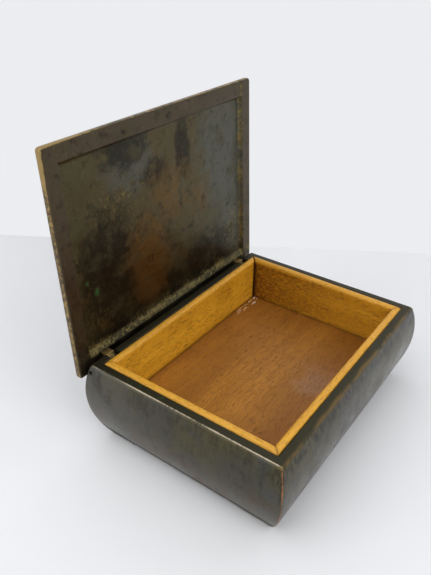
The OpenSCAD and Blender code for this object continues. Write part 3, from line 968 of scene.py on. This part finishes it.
class BOX_OT_lining(bpy.types.Operator):
    """Fits the four mitred slats of the wooden lining"""
    bl_idname = "table_box.lining"
    bl_label = "Lining"

    def execute(self, context):
        scene = context.scene
        size, hue = scene.box_lining, scene.box_wood
        walls = Walls(scene.box_case)
        half = [h - scene.box_case.wall - size.wood_gap for h in walls.half]
        top = walls.height + size.slat_proud
        honey = wood("slat_honey", hue.honey, hue.honey_dark, hue)
        # The right slat has its own copy of the same wood, for its painted shade.
        red = wood("slat_tone_and_shade", hue.honey, hue.honey_dark, hue)
        open_end = size.mitre_gap
        floor_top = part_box("floor_board")[1].z
        rows = [
            ("slat_back", half[0], half[1], 0.0, size.slat_lift, (0, open_end), honey, "slat_wood", 1),
            ("slat_front", half[0], half[1], math.pi, 0.0, (0, 0), honey, "slat_wood", 2),
            ("slat_left", half[1], half[0], math.pi / 2, 0.0, (0, 0), honey, "slat_wood", 3),
            ("slat_right", half[1], half[0], -math.pi / 2, -size.slat_lift, (0, 0), red, "slat_wood_red", 4),
        ]
        for node, half_len, out, turn, lift, ends, material, slot, seed in rows:
            mirrored = node == "slat_right"
            made = slat("lining_" + node, half_len, out, turn, top, size, abs(lift), ends, seed)
            if mirrored:
                made.data.transform(Matrix.Scale(-1, 4, (0, 1, 0)))
                made.data.flip_normals()

            # Darker at the foot of the slat, in the inner corners (most at the opened back right mitre), along the
            # mitre lines at the top and round the nails.
            def darkening(at):
                low_line = 0.55 * fade(at.z - floor_top, 1.2 * MM)
                near = math.hypot(abs(at.x) - half[0] + size.slat_t, abs(at.y) - half[1] + size.slat_t)
                corner = 0.75 * fade(near, 2.8 * MM) if at.z < walls.height - MM else 0.0
                opened = 1.5 if at.x > 0 and at.y > 0 else 0.35
                off_mitre = abs(at.x) - half[0] - abs(at.y) + half[1]
                on_mitre = 0.6 * fade(off_mitre, 0.5 * MM) if at.z > walls.height - 2 * MM else 0.0
                nails = 0.0
                for down, away in ((5 * MM, 4.2 * MM), (11 * MM, 3.0 * MM), (12.5 * MM, 5.6 * MM)):
                    off = math.hypot(half[1] - size.slat_t - away - at.y, walls.height - down - at.z)
                    nails = max(nails, 1.3 * fade(off, 1.5 * MM) * (at.x > 0))
                return max(low_line, corner * opened, nails, on_mitre)

            # A faint random red tone on most slats; on the right slat painted shade, darkest at its back end by the
            # open lid, fading towards the front and weaker on its top.
            def redness_and_shade(at):
                if node != "slat_right":
                    return 0.2 * wave(at, 25 * MM, 3)
                inner = at.z < walls.height - MM
                return (1.0 - 0.7 * (half[1] - at.y) / (1.5 * half[1])) * (1.0 if inner else 0.3)

            paint(made, "darkening", darkening)
            paint(made, "redness_and_shade", redness_and_shade)
            paint(made, "haze", lambda at: 0.0)
            smooth(made, 40)
            seat(made, "case", material, slot, node)
        return {"FINISHED"}


class BOX_OT_floor_board(bpy.types.Operator):
    """Lays the wooden floor board, with the old glue at its back corner"""
    bl_idname = "table_box.floor_board"
    bl_label = "Floor board"

    def execute(self, context):
        hue = context.scene.box_wood
        low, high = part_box("floor_board")
        edge_r = 0.35 * MM
        xs = grid_lines(low.x, high.x, edge_r, 2.4 * MM)
        ys = grid_lines(low.y, high.y, edge_r, 2.0 * MM)
        made = plate("floor_panel", xs, ys, 0.6 * MM, edge_r, lambda x, y: low.z,
                     lambda x, y: high.z + 0.08 * MM * wave(Vector((x / 3, y, 0)), 9 * MM, 4) - 0.08 * MM)
        made.data.attributes.new("grain", "FLOAT_VECTOR", "POINT")
        values = [c for v in made.data.vertices for c in (v.co.x, v.co.y, v.co.z)]
        made.data.attributes["grain"].data.foreach_set("vector", values)

        # Darker round the edges of the board.
        def darkening(at):
            edge = min(high.x - abs(at.x), high.y - abs(at.y))
            return 0.45 * fade(edge, 1.8 * MM)

        paint(made, "rubbed", lambda at: 0.0)
        # On the floor board the same mask only turns the wood redder towards +X.
        paint(made, "redness_and_shade", lambda at: 0.05 + 0.30 * (at.x + 20 * MM) / high.x)
        paint(made, "haze", lambda at: fade(math.hypot(at.x - 8 * MM, at.y + 31 * MM), 30 * MM))
        paint(made, "darkening", darkening)
        smooth(made, 40)
        finish = wood("floor_mahogany", hue.floor, hue.floor_dark, hue, 0.5, 1.35)
        seat(made, "case", finish, "floor_wood", "floor_board")
        self.glue(context, low, high)
        return {"FINISHED"}

    def glue(self, context, low, high):
        """A few thin dried runs of glue on the board, where the open mitre meets it."""
        dice = random.Random(5)
        lumps = bmesh.new()
        for k in range(16):
            along = dice.uniform(2, 26) * MM
            at = Vector((high.x - along, high.y - dice.uniform(1.0, 5.5) * MM, high.z - 0.12 * MM))
            spread = Vector((dice.uniform(0.8, 2.6), dice.uniform(0.35, 0.9), 0.28)) * MM
            made = bmesh.ops.create_icosphere(lumps, subdivisions=3, radius=1.0)
            for vertex in made["verts"]:
                ripple = 1 + 0.35 * noise.noise(vertex.co * 1.7 + Vector((k, 0, 0)))
                vertex.co = at + Vector(a * b for a, b in zip(vertex.co * ripple, spread))
        mesh = bpy.data.meshes.new("glue_runs")
        lumps.to_mesh(mesh)
        lumps.free()
        runs = bpy.data.objects.new("glue_runs", mesh)
        context.scene.collection.objects.link(runs)
        mesh.shade_smooth()
        seat(runs, "case", dried_glue(context.scene.box_wood), "floor_wood")


class BOX_OT_fittings(bpy.types.Operator):
    """Finishes the base plate, its screws and the hinge pins"""
    bl_idname = "table_box.fittings"
    bl_label = "Fittings"

    def execute(self, context):
        finishes = {
            "base_plate": sheet_brass("tarnished_sheet", (0.24, 0.17, 0.08), (0.10, 0.075, 0.045)),
            "base_screws": sheet_brass("tarnished_screw", (0.42, 0.31, 0.14), (0.16, 0.12, 0.06)),
            "pin_left": sheet_brass("dark_pin", (0.06, 0.055, 0.05), (0.025, 0.022, 0.02)),
        }
        finishes["pin_right"] = finishes["pin_left"]
        for node, material in finishes.items():
            mesh = frame["nodes"][node].data
            mesh.materials.clear()
            mesh.materials.append(material)
        return {"FINISHED"}


# ---------------------------------------------------------------- stage

def backdrop_finish(name, tint, glow):
    """Plain pale surface; a camera or mirror ray sees at least the glow."""
    make = Finish(name)
    path = make.node("ShaderNodeLightPath")
    seen = make.sum("MAXIMUM", path.outputs["Is Camera Ray"], path.outputs["Is Glossy Ray"])
    make.finish(Base_Color=tint, Roughness=0.8, Specular_IOR_Level=0.1)
    if glow:
        light = make.node("ShaderNodeEmission", {"Color": tint, "Strength": glow})
        mixed = make.node("ShaderNodeMixShader")
        make.feed(mixed.inputs[0], seen)
        make.feed(mixed.inputs[1], make.shader.outputs[0])
        make.feed(mixed.inputs[2], light.outputs[0])
        make.feed(make.tree.nodes["Material Output"].inputs["Surface"], mixed.outputs[0])
    return make.material


def lamp(name, at, target, side, power):
    data = bpy.data.lights.new(name, "AREA")
    data.shape = "SQUARE"
    data.size = side
    data.energy = power
    made = bpy.data.objects.new(name, data)
    made.location = at
    made.rotation_euler = (Vector(target) - Vector(at)).to_track_quat("-Z", "Y").to_euler()
    bpy.context.scene.collection.objects.link(made)
    return made


class BOX_OT_stage(bpy.types.Operator):
    """Sets up the camera, the pale table and wall, and the soft light"""
    bl_idname = "table_box.stage"
    bl_label = "Stage"

    def execute(self, context):
        scene = context.scene
        stage = scene.box_stage
        self.camera(scene, stage)
        middle = Vector(stage.look_at)
        away = (middle - Vector(stage.camera_at)).to_2d().normalized()
        across = Vector((-away.y, away.x))
        reach = 3.0
        foot = Vector((middle.x, middle.y)) + away * stage.wall_behind
        across.rotate(Matrix.Rotation(stage.wall_turn, 2))
        near = foot - away * reach
        floor = object_from("table_top", [
            (*(near - across * reach), 0), (*(near + across * reach), 0),
            (*(foot + across * reach), 0), (*(foot - across * reach), 0)], [(0, 1, 2, 3)])
        wall = object_from("back_wall", [
            (*(foot - across * reach), 0), (*(foot + across * reach), 0),
            (*(foot + across * reach), reach), (*(foot - across * reach), reach)], [(0, 1, 2, 3)])
        floor.data.materials.append(backdrop_finish("table_cloth", stage.table, 0))
        wall.data.materials.append(backdrop_finish("pale_wall", stage.wall, 1.0))
        world = bpy.data.worlds.new("studio")
        world.use_nodes = True
        world.node_tree.nodes["Background"].inputs["Color"].default_value = (0.98, 0.99, 1.0, 1)
        world.node_tree.nodes["Background"].inputs["Strength"].default_value = stage.world
        scene.world = world
        lamp("key_lamp", (-0.55, 0.25, 1.4), middle, 1.2, stage.key)
        lamp("side_lamp", (-1.15, 0.55, 0.65), middle, 0.9, stage.side)
        lamp("fill_lamp", (-0.25, -1.15, 0.95), middle, 1.1, stage.fill)
        scene.view_settings.view_transform = "Standard"
        return {"FINISHED"}

    def camera(self, scene, stage):
        data = bpy.data.cameras.new("camera")
        data.lens = stage.lens
        data.sensor_width = 36
        data.clip_start = 0.01
        made = bpy.data.objects.new("camera", data)
        gaze = Vector(stage.look_at) - Vector(stage.camera_at)
        aim = gaze.to_track_quat("-Z", "Y").to_matrix().to_4x4()
        made.matrix_world = (
            Matrix.Translation(stage.camera_at) @ aim @ Matrix.Rotation(stage.roll, 4, "Z"))
        scene.collection.objects.link(made)
        scene.camera = made


OPERATORS = (
    BOX_OT_case, BOX_OT_lid, BOX_OT_lugs, BOX_OT_lining, BOX_OT_floor_board, BOX_OT_fittings, BOX_OT_stage,
)


class BOX_PT_panel(bpy.types.Panel):
    """Lists the pieces of the box and the sizes and colours that they use"""
    bl_idname = "BOX_PT_panel"
    bl_label = "Bombe table box"
    bl_space_type = "VIEW_3D"
    bl_region_type = "UI"
    bl_category = "Table box"

    def draw(self, context):
        column = self.layout.column()
        for operator in OPERATORS:
            column.operator(operator.bl_idname)
        for name in SETTINGS:
            group = getattr(context.scene, name)
            box = self.layout.box()
            for setting in group.bl_rna.properties:
                if setting.identifier not in ("name", "rna_type"):
                    box.prop(group, setting.identifier)


CLASSES = (*SETTINGS.values(), *OPERATORS, BOX_PT_panel)


def register():
    for made in CLASSES:
        bpy.utils.register_class(made)
    for name, group in SETTINGS.items():
        setattr(bpy.types.Scene, name, PointerProperty(type=group))


def unregister():
    for name in SETTINGS:
        delattr(bpy.types.Scene, name)
    for made in reversed(CLASSES):
        bpy.utils.unregister_class(made)


def main():
    register()
    bpy.ops.table_box.case()
    bpy.ops.table_box.lid()
    bpy.ops.table_box.lugs()
    bpy.ops.table_box.lining()
    bpy.ops.table_box.floor_board()
    bpy.ops.table_box.fittings()
    bpy.ops.table_box.stage()
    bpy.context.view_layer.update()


if __name__ == "__main__":
    main()
